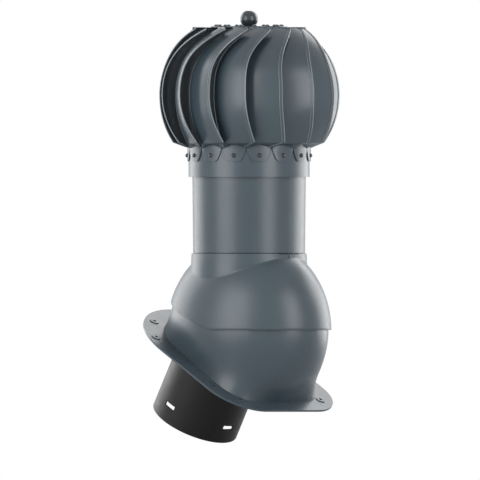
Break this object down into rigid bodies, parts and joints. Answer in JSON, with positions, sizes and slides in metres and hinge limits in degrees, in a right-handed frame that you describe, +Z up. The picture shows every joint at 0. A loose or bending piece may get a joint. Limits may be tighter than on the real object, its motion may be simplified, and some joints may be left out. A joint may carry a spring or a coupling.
{
  "type": "roof turbine ventilator",
  "caption": "Roof turbine ventilator: wind-driven vaned head on an insulated pipe, tilting domed hood and base, sloping roof flange and round duct spigot below.",
  "frame": {"origin": "where the duct spigot's axis crosses the underside of the roof flange", "axes": "+Z up along the turbine's axle, +X down the roof's slope, the spigot leaves square to the roof, Y across the roof"},
  "size_m": [0.2908, 0.2534, 0.6052],
  "materials": {
    "turbine_paint": "satin graphite grey paint",
    "shell_paint": "satin graphite grey plastic",
    "black_plastic": "matt black",
    "rubber": "matt",
    "hose": "matt ribbed",
    "foam": "matt foam",
    "bright_steel": "zinc plated"
  },
  "bodies": {
    "base": {"base_shell": "shell_paint", "flange_gasket": "rubber", "duct_spigot": "black_plastic", "plate_screws": "bright_steel", "flexible_connector": "hose", "hose_clamp_lower": "bright_steel"},
    "upper": {"hood": "shell_paint", "pivot_arm_left": "black_plastic", "pivot_arm_right": "black_plastic", "outer_pipe": "shell_paint", "insulation": "foam", "inner_duct": "black_plastic", "pipe_cap": "black_plastic", "hose_clamp_upper": "bright_steel", "axle_bracket": "bright_steel", "bracket_screws": "bright_steel", "axle": "bright_steel", "axle_nut": "bright_steel", "axle_collar": "bright_steel", "axle_spacer": "bright_steel", "lower_spacer": "bright_steel", "lower_inner_race": "bright_steel", "upper_inner_race": "bright_steel"},
    "rotor": {"neck_ring": "turbine_paint", "spoke_hub": "bright_steel", "top_hub": "bright_steel", "crown_disc": "turbine_paint", "crown_rivets": "turbine_paint", "neck_rivets": "turbine_paint", "ball_knob": "turbine_paint", "lower_outer_race": "bright_steel", "upper_outer_race": "bright_steel", "vane_01": "turbine_paint", "vane_02": "turbine_paint", "vane_03": "turbine_paint", "vane_04": "turbine_paint", "vane_05": "turbine_paint", "vane_06": "turbine_paint", "vane_07": "turbine_paint", "vane_08": "turbine_paint", "vane_09": "turbine_paint", "vane_10": "turbine_paint", "vane_11": "turbine_paint", "vane_12": "turbine_paint", "vane_13": "turbine_paint", "vane_14": "turbine_paint", "vane_15": "turbine_paint"}
  },
  "joints": [
    {"name": "pitch_adjust", "type": "hinge", "parent": "base", "child": "upper", "pos_m": [0.05368, 0, 0.03437], "axis": [0, 1, 0], "range_deg": [-8, 15], "deforming": ["flexible_connector"]},
    {"name": "rotor_spin", "type": "hinge", "parent": "upper", "child": "rotor", "pos_m": [0.05368, 0, 0.03437], "axis": [0, 0, 1], "continuous": true}
  ]
}
